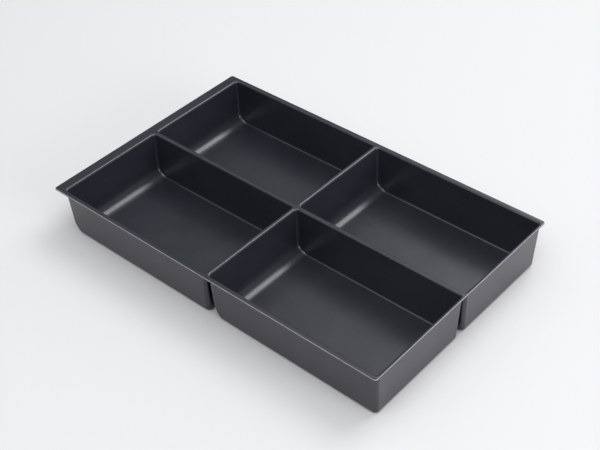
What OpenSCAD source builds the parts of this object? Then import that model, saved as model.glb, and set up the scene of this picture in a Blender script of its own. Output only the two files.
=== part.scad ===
// Four-compartment drawer tray: one plastic sheet with a flat rim deck and four
// drafted wells. Each well is modelled apart from the deck and meets it along a
// vertical face just outside its rounded lip.
// Frame: +X along the tray's length, +Y to the rear, +Z up. The origin is the
// middle of the overall footprint, at the level that the tray stands on.

/* [Overall] */
// Length of the rim deck along X
tray_length = 340; // [260:1:420]
// Width of the rim deck along Y
tray_width = 215.4; // [160:0.1:280]
// Height from the underside of the floors to the top of the deck
tray_height = 43.5; // [30:0.1:70]
// Thickness of the sheet
sheet = 1.2; // [0.8:0.1:2.4]

/* [Rim deck] */
// Flat rim left of the wells
flat_left = 8.3; // [2:0.1:20]
// Flat rim right of the wells
flat_right = 0.9; // [0.4:0.1:20]
// Flat rim in front of the wells
flat_front = 2.7; // [0.4:0.1:20]
// Flat rim behind the wells
flat_rear = 2.6; // [0.4:0.1:20]
// Flat strip between the lips of neighbouring wells
flat_web = 0.7; // [0.4:0.1:12]
// Radius of the deck's outer corners, seen from above
deck_corner_radius = 2.2; // [0.5:0.1:4]
// Bend radius under the lip, where the deck turns down into a wall
bend_radius = 0.7; // [0.2:0.1:2]

/* [Wells] */
// Angle by which the walls lean inwards towards the floor
draft_angle = 2.6; // [0:0.1:5]
// Radius of a well's upright corners, inside the well
corner_radius = 2.4; // [2.2:0.1:10]
// Radius between the floor and the front, rear and right walls, inside the well
floor_radius = 1.8; // [1:0.1:2.2]
// Radius of the finger scoop between the floor and the left wall
scoop_radius = 11; // [5:0.5:18]

/* [Smoothness] */
// Steps in a quarter turn of an upright corner
corner_steps = 8; // [4:1:10]
// Steps around a lip, a floor radius or the exposed part of a scoop
bend_steps = 5; // [3:1:7]

/* [Hidden] */

tray_color = [0.13, 0.13, 0.14];
quarter_turn = 90;
columns = 2;
rows = 2;
left = 0;
right = 1;
front = 0;
rear = 1;

draft = tan(draft_angle);
lip_radius = bend_radius + sheet;
inner_floor_depth = tray_height - sheet;

// Insets are measured inwards from a wall line, which is where the plane of a
// wall's inner face would cut the top of the deck. A lip's centre is outside it.
lip_inset = lip_radius * (draft - 1 / cos(draft_angle));
lip_run = -lip_inset;

well_length = (tray_length - flat_left - flat_right - (columns - 1) * flat_web) / columns - 2 * lip_run;
well_width = (tray_width - flat_front - flat_rear - (rows - 1) * flat_web) / rows - 2 * lip_run;
pitch_x = well_length + flat_web + 2 * lip_run;
pitch_y = well_width + flat_web + 2 * lip_run;
first_x = flat_left + lip_run - tray_length / 2;
first_y = flat_front + lip_run - tray_width / 2;

// ---- outlines ----

function quarter_arc(center, radius, start) = [
    for (step = [0 : corner_steps])
        let (turn = start + quarter_turn * step / corner_steps)
        [center.x + radius * cos(turn), center.y + radius * sin(turn)]
];

// A rectangle with round corners, anticlockwise from its right rear corner.
function rounded_outline(low, high, radius) = concat(
    quarter_arc([high.x - radius, high.y - radius], radius, 0),
    quarter_arc([low.x + radius, high.y - radius], radius, quarter_turn),
    quarter_arc([low.x + radius, low.y + radius], radius, 2 * quarter_turn),
    quarter_arc([high.x - radius, low.y + radius], radius, 3 * quarter_turn)
);

// ---- the section through a wall ----

// Inset of one skin of a wall at a depth. skin is 0 for the inner face and
// sheet for the outer one, and both turn about the same centre at the floor.
function wall_inset(depth, radius, skin) =
    let (center_depth = inner_floor_depth - radius,
         center_inset = center_depth * draft + radius / cos(draft_angle),
         reach = radius + skin,
         below = depth - center_depth)
    below <= reach * sin(draft_angle)
        ? depth * draft - skin / cos(draft_angle)
        : center_inset - sqrt(max(0, reach * reach - below * below));

// A level is [depth, left inset, inset of the other walls, corner radius].
function lip_level(skin, turn) =
    let (reach = lip_radius - skin, inset = lip_inset + reach * sin(turn))
    [lip_radius - reach * cos(turn), inset, inset, corner_radius - inset];

function wall_level(depth, skin) =
    let (inset = wall_inset(depth, floor_radius, skin))
    [depth, wall_inset(depth, scoop_radius, skin), inset, corner_radius + depth * draft - inset];

function lip_levels(skin) = [
    for (step = [0 : bend_steps]) lip_level(skin, (quarter_turn - draft_angle) * step / bend_steps)
];

// The turn on the scoop's arc at the depth where the floor radius starts.
function scoop_end(skin) =
    let (start_depth = inner_floor_depth - floor_radius + (floor_radius + skin) * sin(draft_angle))
    asin((start_depth - inner_floor_depth + scoop_radius) / (scoop_radius + skin));

function scoop_levels(skin) = [
    for (step = [0 : bend_steps - 1])
        let (turn = draft_angle + (scoop_end(skin) - draft_angle) * step / bend_steps)
        wall_level(inner_floor_depth - scoop_radius + (scoop_radius + skin) * sin(turn), skin)
];

function floor_levels(skin) = [
    for (step = [0 : bend_steps])
        let (turn = draft_angle + (quarter_turn - draft_angle) * step / bend_steps)
        wall_level(inner_floor_depth - floor_radius + (floor_radius + skin) * sin(turn), skin)
];

function skin_levels(skin) = concat(lip_levels(skin), scoop_levels(skin), floor_levels(skin));

function reversed(list) = [for (i = [len(list) - 1 : -1 : 0]) list[i]];

// ---- solids ----

function well_low(column, row) = [first_x + column * pitch_x, first_y + row * pitch_y];

function level_outline(low, level) = rounded_outline(
    [low.x + level[1], low.y + level[2]],
    [low.x + well_length - level[2], low.y + well_width - level[2]],
    level[3]
);

function level_points(low, level) = [
    for (point = level_outline(low, level)) [point.x, point.y, tray_height - level[0]]
];

// The shell runs from the inner floor up to the lip, and down again outside.
module well(column, row) {
    low = well_low(column, row);
    levels = concat(reversed(skin_levels(0)), skin_levels(sheet));
    around = 4 * (corner_steps + 1);
    last = len(levels) - 1;
    inner_floor = [for (i = [0 : around - 1]) around - 1 - i];
    outer_floor = [for (i = [0 : around - 1]) last * around + i];
    skins = [
        for (ring = [0 : last - 1], i = [0 : around - 1])
            let (next = (i + 1) % around,
                 a = ring * around + i,
                 b = ring * around + next,
                 c = (ring + 1) * around + next,
                 d = (ring + 1) * around + i)
            each [[a, b, c], [a, c, d]]
    ];
    polyhedron(
        points = [for (level = levels) each level_points(low, level)],
        faces = concat([inner_floor], skins, [outer_floor])
    );
}

module rim_deck() {
    color(tray_color)
    translate([0, 0, tray_height - sheet])
    linear_extrude(height = sheet)
    difference() {
        polygon(rounded_outline(
            [-tray_length / 2, -tray_width / 2],
            [tray_length / 2, tray_width / 2],
            deck_corner_radius
        ));
        for (column = [0 : columns - 1], row = [0 : rows - 1])
            polygon(level_outline(well_low(column, row), lip_level(0, 0)));
    }
}

module well_front_left() {
    color(tray_color) well(left, front);
}

module well_front_right() {
    color(tray_color) well(right, front);
}

module well_rear_left() {
    color(tray_color) well(left, rear);
}

module well_rear_right() {
    color(tray_color) well(right, rear);
}

rim_deck();
well_front_left();
well_front_right();
well_rear_left();
well_rear_right();
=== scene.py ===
import math

import bmesh
import bpy
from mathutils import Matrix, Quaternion, Vector


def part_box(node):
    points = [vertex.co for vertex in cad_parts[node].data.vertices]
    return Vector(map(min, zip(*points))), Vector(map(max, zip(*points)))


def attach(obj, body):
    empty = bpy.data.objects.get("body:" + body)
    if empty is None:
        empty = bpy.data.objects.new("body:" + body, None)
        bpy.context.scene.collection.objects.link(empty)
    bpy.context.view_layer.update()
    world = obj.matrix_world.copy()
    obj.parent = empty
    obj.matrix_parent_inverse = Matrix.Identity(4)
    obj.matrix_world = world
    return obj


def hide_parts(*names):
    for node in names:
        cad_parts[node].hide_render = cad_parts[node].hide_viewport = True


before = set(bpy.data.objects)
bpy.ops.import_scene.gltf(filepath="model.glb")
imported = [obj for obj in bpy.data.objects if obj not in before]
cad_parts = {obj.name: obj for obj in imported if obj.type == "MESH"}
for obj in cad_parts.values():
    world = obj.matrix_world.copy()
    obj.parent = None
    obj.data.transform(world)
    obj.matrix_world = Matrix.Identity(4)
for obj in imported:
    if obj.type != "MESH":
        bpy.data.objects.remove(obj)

# A four-compartment drawer tray in satin black plastic: one moulding with a flat rim deck
# and four drafted wells. Each visual piece replaces the CAD node it is named after with a
# finer mesh of the same section, so neighbouring pieces share their boundary and no seam
# shows. Everything is in metres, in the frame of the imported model.

MM = 0.001
BODY = "root"
DECK = "rim_deck"
WELLS = ("well_front_left", "well_front_right", "well_rear_left", "well_rear_right")
WEAR_AND_HIGHLIGHT = "wear_and_highlight"
OUTSIDE = "outside"

# The moulding's section, as designed
SHEET = 1.2 * MM
BEND_RADIUS = 0.7 * MM
LIP_RADIUS = BEND_RADIUS + SHEET
DRAFT_ANGLE = math.radians(2.6)
DRAFT = math.tan(DRAFT_ANGLE)
CORNER_RADIUS = 2.4 * MM
FLOOR_RADIUS = 1.8 * MM
SCOOP_RADIUS = 11 * MM
DECK_CORNER_RADIUS = 2.2 * MM
LIP_INSET = LIP_RADIUS * (DRAFT - 1 / math.cos(DRAFT_ANGLE))

# The rim's trimmed edge, which carries wear and a painted highlight, and the lips' wear
TOP_EDGE_RADIUS = 0.3 * MM
UNDER_EDGE_RADIUS = 0.12 * MM
EDGE_WEAR_AND_HIGHLIGHT_WIDTH = 0.6 * MM
LIP_WEAR = 0.5

# Smoothness of the visual meshes
QUARTER = math.pi / 2
CORNER_STEPS = 20
LIP_STEPS = 14
SCOOP_STEPS = 18
FLOOR_STEPS = 10
EDGE_STEPS = 4

# The plastic: the inside varies in broad clouds, the outside in upright drag marks
INNER_DARK = (0.0130, 0.0140, 0.0210, 1)
INNER_LIGHT = (0.0200, 0.0210, 0.0290, 1)
OUTER_DARK = (0.0080, 0.0060, 0.0145, 1)
OUTER_LIGHT = (0.0190, 0.0155, 0.0275, 1)
SPECK_COLOR = (0.030, 0.031, 0.038, 1)
RUBBED_COLOR = (0.040, 0.040, 0.045, 1)
# A paler trimmed edge with a painted highlight along the rim's top edge
TRIMMED_EDGE_AND_HIGHLIGHT_COLOR = (0.30, 0.30, 0.31, 1)
PLASTIC_IOR = 1.63
UPRIGHT_STRETCH = (1, 1, 0.05)
GRAIN_HEIGHT = 0.05 * MM
RIPPLE_HEIGHT = 0.3 * MM

# The view, from in front and to the right of the tray
VIEW_AZIMUTH = math.radians(42.79)
VIEW_ELEVATION = math.radians(40.30)
VIEW_ROLL = math.radians(-2.71)
VIEW_DISTANCE = 931.9 * MM
VIEW_TARGET_X = 21.4 * MM
VIEW_TARGET_Y = -15.7 * MM
LENS = 70.61

# The studio
FLOOR_SIZE = 12.0
FLOOR_COLOR = (0.65, 0.65, 0.65, 1)
LIGHT_DISTANCE = 2.4
SKY_COLOR = (0.85, 0.92, 1.0)
SKY_STRENGTH = 0.26
# Each light: name, azimuth from +X and elevation in degrees, diameter in metres, power in
# watts, color
LIGHTS = (
    ("rear_softbox", 112, 54, 1.7, 3.5, (1.0, 1.0, 1.0)),
    ("rear_core", 76, 57, 1.4, 22.0, (1.0, 0.995, 0.98)),
    ("rear_strip", 104, 44, 0.9, 3.5, (1.0, 1.0, 1.0)),
    ("front_right_fill", -64, 56, 1.5, 15.0, (1.0, 0.995, 0.99)),
    ("front_left_fill", -112, 44, 1.2, 4.0, (0.98, 0.99, 1.0)),
    ("right_overhead", 0, 62, 1.4, 6.0, (1.0, 1.0, 1.0)),
    ("right_low", -2, 16, 1.4, 30.0, (0.98, 0.97, 1.0)),
    ("rear_low", 80, 20, 1.2, 9.5, (1.0, 1.0, 1.0)),
    ("left_fill", 180, 45, 1.4, 4.0, (1.0, 1.0, 1.0)),
    ("overhead", -100, 80, 2.0, 14.0, (1.0, 1.0, 1.0)),
)

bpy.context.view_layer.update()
DECK_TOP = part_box(DECK)[1].z
INNER_FLOOR_DEPTH = DECK_TOP - SHEET


# ---- outlines and the section through a wall ----

def turns_between(start, end, steps):
    return [start + (end - start) * step / steps for step in range(steps + 1)]


def rounded_outline(low, high, inset_left, inset, radius):
    """A rectangle with round corners inside a box, anticlockwise from its right rear corner."""
    left, right = low.x + inset_left + radius, high.x - inset - radius
    front, rear = low.y + inset + radius, high.y - inset - radius
    centers = ((right, rear), (left, rear), (left, front), (right, front))
    return [
        (x + radius * math.cos(turn), y + radius * math.sin(turn))
        for corner, (x, y) in enumerate(centers)
        for turn in turns_between(corner * QUARTER, (corner + 1) * QUARTER, CORNER_STEPS)
    ]


def wall_inset(depth, radius, skin):
    """How far one skin of a wall lies inside its wall line, at a depth below the deck's top."""
    center_depth = INNER_FLOOR_DEPTH - radius
    center_inset = center_depth * DRAFT + radius / math.cos(DRAFT_ANGLE)
    reach = radius + skin
    below = depth - center_depth
    if below <= reach * math.sin(DRAFT_ANGLE):
        return depth * DRAFT - skin / math.cos(DRAFT_ANGLE)
    return center_inset - math.sqrt(max(0, reach * reach - below * below))


def lip_level(skin, turn):
    """A level is (depth, left inset, inset of the other walls, corner radius, wear)."""
    reach = LIP_RADIUS - skin
    inset = LIP_INSET + reach * math.sin(turn)
    wear_and_highlight = LIP_WEAR * math.sin(2 * turn)
    return LIP_RADIUS - reach * math.cos(turn), inset, inset, CORNER_RADIUS - inset, wear_and_highlight


def wall_level(depth, skin):
    inset = wall_inset(depth, FLOOR_RADIUS, skin)
    radius = CORNER_RADIUS + depth * DRAFT - inset
    return depth, wall_inset(depth, SCOOP_RADIUS, skin), inset, radius, 0


def skin_levels(skin):
    """The levels of one skin of a well, from its lip down to its floor."""
    floor_start = INNER_FLOOR_DEPTH - FLOOR_RADIUS + (FLOOR_RADIUS + skin) * math.sin(DRAFT_ANGLE)
    scoop_end = math.asin((floor_start - INNER_FLOOR_DEPTH + SCOOP_RADIUS) / (SCOOP_RADIUS + skin))
    lip = [lip_level(skin, turn) for turn in turns_between(0, QUARTER - DRAFT_ANGLE, LIP_STEPS)]
    scoop = [
        wall_level(INNER_FLOOR_DEPTH - SCOOP_RADIUS + (SCOOP_RADIUS + skin) * math.sin(turn), skin)
        for turn in turns_between(DRAFT_ANGLE, scoop_end, SCOOP_STEPS)[:-1]
    ]
    floor = [
        wall_level(INNER_FLOOR_DEPTH - FLOOR_RADIUS + (FLOOR_RADIUS + skin) * math.sin(turn), skin)
        for turn in turns_between(DRAFT_ANGLE, QUARTER, FLOOR_STEPS)
    ]
    return lip + scoop + floor


# ---- pieces ----

def add_ring(shape, outline, z, wear_and_highlight=0, outside=0):
    """A ring of vertices that carry how worn they are, which on the rim's top edge also masks a painted
    highlight, and whether they are on the outer side.
    """
    ring = [shape.verts.new((x, y, z)) for x, y in outline]
    for vert in ring:
        vert[shape.verts.layers.float[WEAR_AND_HIGHLIGHT]] = wear_and_highlight
        vert[shape.verts.layers.float[OUTSIDE]] = outside
    return ring


def ring_edges(shape, ring):
    """The edges around a ring, made where no face has made them yet."""
    pairs = zip(ring, ring[1:] + ring[:1])
    return [shape.edges.get(pair) or shape.edges.new(pair) for pair in pairs]


def bridge(shape, first, second):
    for a, b, c, d in zip(first, first[1:] + first[:1], second[1:] + second[:1], second):
        shape.faces.new((a, b, c, d))


def new_shape():
    shape = bmesh.new()
    shape.verts.layers.float.new(WEAR_AND_HIGHLIGHT)
    shape.verts.layers.float.new(OUTSIDE)
    return shape


def finish_piece(shape, node, sharp_rings):
    """Turns a shape into the object that stands for a CAD node. Shading breaks along the rings."""
    for ring in sharp_rings:
        for edge in ring_edges(shape, ring):
            edge.smooth = False
    for face in shape.faces:
        face.smooth = True
    bmesh.ops.recalc_face_normals(shape, faces=shape.faces)
    mesh = bpy.data.meshes.new(node + "_skin")
    shape.to_mesh(mesh)
    shape.free()
    piece = bpy.data.objects.new(node + "_skin", mesh)
    bpy.context.scene.collection.objects.link(piece)
    shading = piece.modifiers.new("flat faces keep their normals", "WEIGHTED_NORMAL")
    shading.keep_sharp = True
    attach(piece, BODY)
    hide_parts(node)
    return piece


def make_well(node):
    """A closed shell: up the inner skin, over the joint with the deck, down the outer skin."""
    low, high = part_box(node)
    inner, outer = skin_levels(0), skin_levels(SHEET)
    shape = new_shape()
    rings = []
    for levels, outside in ((inner[::-1], 0), (outer, 1)):
        for depth, left, inset, radius, wear_and_highlight in levels:
            outline = rounded_outline(low, high, left - LIP_INSET, inset - LIP_INSET, radius)
            rings.append(add_ring(shape, outline, DECK_TOP - depth, wear_and_highlight, outside))
    for first, second in zip(rings, rings[1:]):
        bridge(shape, first, second)
    shape.faces.new(rings[0])
    shape.faces.new(rings[-1])
    joint = len(inner)
    return finish_piece(shape, node, rings[joint - 1:joint + 1])


def make_deck():
    """A flat sheet with a softened outer edge and an opening for each well's lip."""
    low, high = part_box(DECK)
    shape = new_shape()
    edge_levels = [(0, EDGE_WEAR_AND_HIGHLIGHT_WIDTH, 0)]
    # The top edge's rounding is fully worn and carries the painted highlight; the under edge carries
    # neither
    for turn in turns_between(0, QUARTER, EDGE_STEPS):
        depth, inset = 1 - math.cos(turn), 1 - math.sin(turn)
        edge_levels.append((depth * TOP_EDGE_RADIUS, inset * TOP_EDGE_RADIUS, 1))
    for turn in turns_between(0, QUARTER, EDGE_STEPS):
        depth, inset = 1 - math.sin(turn), 1 - math.cos(turn)
        edge_levels.append((SHEET - depth * UNDER_EDGE_RADIUS, inset * UNDER_EDGE_RADIUS, 0))
    rings = []
    for depth, inset, wear_and_highlight in edge_levels:
        outline = rounded_outline(low, high, inset, inset, DECK_CORNER_RADIUS - inset)
        rings.append(add_ring(shape, outline, DECK_TOP - depth, wear_and_highlight))
    for first, second in zip(rings, rings[1:]):
        bridge(shape, first, second)
    top_edges, under_edges = ring_edges(shape, rings[0]), ring_edges(shape, rings[-1])
    openings = []
    for node in WELLS:
        outline = rounded_outline(*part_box(node), 0, 0, CORNER_RADIUS - LIP_INSET)
        top = add_ring(shape, outline, DECK_TOP)
        under = add_ring(shape, outline, DECK_TOP - SHEET, outside=1)
        bridge(shape, top, under)
        openings += [top, under]
        top_edges += ring_edges(shape, top)
        under_edges += ring_edges(shape, under)
    bmesh.ops.triangle_fill(shape, edges=top_edges, use_beauty=True, normal=(0, 0, 1))
    bmesh.ops.triangle_fill(shape, edges=under_edges, use_beauty=True, normal=(0, 0, -1))
    return finish_piece(shape, DECK, openings)


# ---- materials ----

def add_node(tree, kind, inputs=None, **settings):
    node = tree.nodes.new(kind)
    for name, value in settings.items():
        setattr(node, name, value)
    for name, value in (inputs or {}).items():
        if isinstance(value, bpy.types.NodeSocket):
            tree.links.new(value, node.inputs[name])
        else:
            node.inputs[name].default_value = value
    return node


def noise(tree, position, scale, detail=2.0, roughness=0.5):
    inputs = {"Vector": position, "Scale": scale, "Detail": detail, "Roughness": roughness}
    return add_node(tree, "ShaderNodeTexNoise", inputs).outputs["Fac"]


def remap(tree, value, from_low, from_high, to_low, to_high):
    inputs = {
        "Value": value,
        "From Min": from_low,
        "From Max": from_high,
        "To Min": to_low,
        "To Max": to_high,
    }
    return add_node(tree, "ShaderNodeMapRange", inputs).outputs["Result"]


def blend_colors(tree, amount, first, second):
    node = add_node(tree, "ShaderNodeMix", data_type="RGBA")
    for socket, value in ((node.inputs[0], amount), (node.inputs[6], first), (node.inputs[7], second)):
        if isinstance(value, bpy.types.NodeSocket):
            tree.links.new(value, socket)
        else:
            socket.default_value = value
    return node.outputs[2]


def blend_values(tree, amount, first, second):
    inputs = {0: amount, 2: first, 3: second}
    return add_node(tree, "ShaderNodeMix", inputs, data_type="FLOAT").outputs[0]


def multiply(tree, first, second):
    return add_node(tree, "ShaderNodeMath", {0: first, 1: second}, operation="MULTIPLY").outputs[0]


def plastic_material():
    """Satin black plastic: fine grain, faint clouds and specks, rubbed lips, a paler trimmed edge with a
    painted highlight on it, and upright drag marks on the outside, which is glossier than the inside."""
    material = bpy.data.materials.new("satin_black_plastic")
    material.use_nodes = True
    tree = material.node_tree
    tree.nodes.clear()
    position = add_node(tree, "ShaderNodeTexCoord").outputs["Object"]
    wear_and_highlight = add_node(tree, "ShaderNodeAttribute", attribute_name=WEAR_AND_HIGHLIGHT).outputs["Fac"]
    outside = add_node(tree, "ShaderNodeAttribute", attribute_name=OUTSIDE).outputs["Fac"]

    clouds = remap(tree, noise(tree, position, 14, 3), 0.35, 0.65, 0, 1)
    specks = remap(tree, noise(tree, position, 900, 2, 0.6), 0.6, 0.8, 0, 0.5)
    rubbing = remap(tree, noise(tree, position, 120, 4), 0.4, 0.7, 0.1, 0.6)
    chatter = remap(tree, noise(tree, position, 260, 2), 0.3, 0.7, 0.7, 1)
    stretch = {"Vector": position, "Scale": UPRIGHT_STRETCH}
    upright = add_node(tree, "ShaderNodeMapping", stretch).outputs["Vector"]
    drag_marks = remap(tree, noise(tree, upright, 320, 3), 0.35, 0.65, 0, 1)
    inner_color = blend_colors(tree, clouds, INNER_DARK, INNER_LIGHT)
    outer_color = blend_colors(tree, drag_marks, OUTER_DARK, OUTER_LIGHT)
    color = blend_colors(tree, outside, inner_color, outer_color)
    color = blend_colors(tree, specks, color, SPECK_COLOR)
    color = blend_colors(tree, multiply(tree, wear_and_highlight, rubbing), color, RUBBED_COLOR)
    # Painted highlight along the rim's top edge, mixed with a paler trimmed-edge colour
    trimmed_and_highlight = multiply(tree, remap(tree, wear_and_highlight, 0.6, 1, 0, 1), chatter)
    color = blend_colors(tree, trimmed_and_highlight, color, TRIMMED_EDGE_AND_HIGHLIGHT_COLOR)

    scuffs = noise(tree, position, 60, 5, 0.6)
    inner_roughness = remap(tree, scuffs, 0.3, 0.7, 0.27, 0.32)
    outer_roughness = remap(tree, drag_marks, 0, 1, 0.13, 0.18)
    roughness = blend_values(tree, outside, inner_roughness, outer_roughness)

    grain = {"Height": noise(tree, position, 2600, 2), "Strength": 0.25, "Distance": GRAIN_HEIGHT}
    fine = add_node(tree, "ShaderNodeBump", grain).outputs["Normal"]
    ripple = {"Height": noise(tree, position, 45, 1), "Strength": 0.3, "Distance": RIPPLE_HEIGHT}
    broad = add_node(tree, "ShaderNodeBump", {**ripple, "Normal": fine}).outputs["Normal"]
    surface = {"Base Color": color, "Roughness": roughness, "IOR": PLASTIC_IOR, "Normal": broad}
    shader = add_node(tree, "ShaderNodeBsdfPrincipled", surface)
    add_node(tree, "ShaderNodeOutputMaterial", {"Surface": shader.outputs["BSDF"]})
    return material


def floor_material():
    material = bpy.data.materials.new("pale_floor")
    material.use_nodes = True
    shader = material.node_tree.nodes["Principled BSDF"]
    shader.inputs["Base Color"].default_value = FLOOR_COLOR
    shader.inputs["Roughness"].default_value = 0.9
    shader.inputs["Specular IOR Level"].default_value = 0.1
    return material


# ---- studio ----

def make_floor():
    half = FLOOR_SIZE / 2
    mesh = bpy.data.meshes.new("floor")
    corners = [(-half, -half, 0), (half, -half, 0), (half, half, 0), (-half, half, 0)]
    mesh.from_pydata(corners, [], [(0, 1, 2, 3)])
    mesh.materials.append(floor_material())
    floor = bpy.data.objects.new("floor", mesh)
    bpy.context.scene.collection.objects.link(floor)


def make_light(name, azimuth, elevation, size, power, color):
    """A round area light on a sphere about the origin, facing it."""
    turn, rise = math.radians(azimuth), math.radians(elevation)
    direction = Vector((math.cos(turn) * math.cos(rise), math.sin(turn) * math.cos(rise), math.sin(rise)))
    data = bpy.data.lights.new(name, "AREA")
    data.shape, data.size, data.energy, data.color = "DISK", size, power, color
    light = bpy.data.objects.new(name, data)
    light.location = direction * LIGHT_DISTANCE
    light.rotation_mode = "QUATERNION"
    light.rotation_quaternion = direction.to_track_quat("Z", "Y")
    bpy.context.scene.collection.objects.link(light)


def make_sky():
    world = bpy.data.worlds.new("studio")
    world.use_nodes = True
    background = world.node_tree.nodes["Background"]
    background.inputs["Color"].default_value = (*SKY_COLOR, 1)
    background.inputs["Strength"].default_value = SKY_STRENGTH
    bpy.context.scene.world = world


def make_camera():
    data = bpy.data.cameras.new("camera")
    data.lens = LENS
    camera = bpy.data.objects.new("camera", data)
    back = Vector((
        math.sin(VIEW_AZIMUTH) * math.cos(VIEW_ELEVATION),
        -math.cos(VIEW_AZIMUTH) * math.cos(VIEW_ELEVATION),
        math.sin(VIEW_ELEVATION),
    ))
    target = Vector((VIEW_TARGET_X, VIEW_TARGET_Y, DECK_TOP))
    camera.location = target + back * VIEW_DISTANCE
    camera.rotation_mode = "QUATERNION"
    camera.rotation_quaternion = (-back).to_track_quat("-Z", "Y") @ Quaternion((0, 0, 1), VIEW_ROLL)
    bpy.context.scene.collection.objects.link(camera)
    bpy.context.scene.camera = camera


make_camera()
make_floor()
make_sky()
for light in LIGHTS:
    make_light(*light)

plastic = plastic_material()
for tray_piece in [make_deck()] + [make_well(node) for node in WELLS]:
    tray_piece.data.materials.append(plastic)

bpy.context.scene.view_settings.view_transform = "Standard"
bpy.context.view_layer.update()
